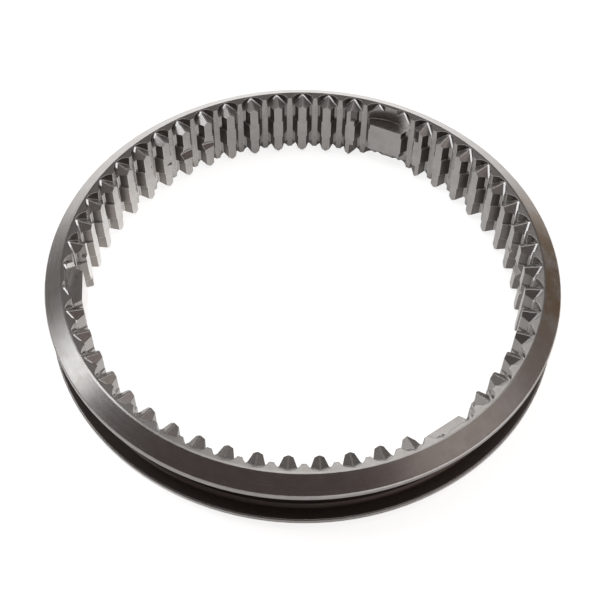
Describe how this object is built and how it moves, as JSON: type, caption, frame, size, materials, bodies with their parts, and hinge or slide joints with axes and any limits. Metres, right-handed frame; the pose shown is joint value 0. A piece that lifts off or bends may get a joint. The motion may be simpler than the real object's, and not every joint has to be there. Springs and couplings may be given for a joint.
{
  "type": "gearbox sliding sleeve",
  "caption": "Splined steel ring with pointed internal teeth, stop blocks and detent notches; it slides on a synchroniser hub to lock gears, moved by a fork in its outer groove.",
  "frame": {"origin": "on the ring's axis, in the plane of the lower end face", "axes": "+Z along the ring's axis towards the upper end face; +Y through the middle of a stop block; +X completes the right hand"},
  "size_m": [0.165, 0.165, 0.024],
  "materials": {
    "steel": "satin machined"
  },
  "bodies": {
    "root": {"sliding_sleeve": "steel"}
  },
  "joints": []
}
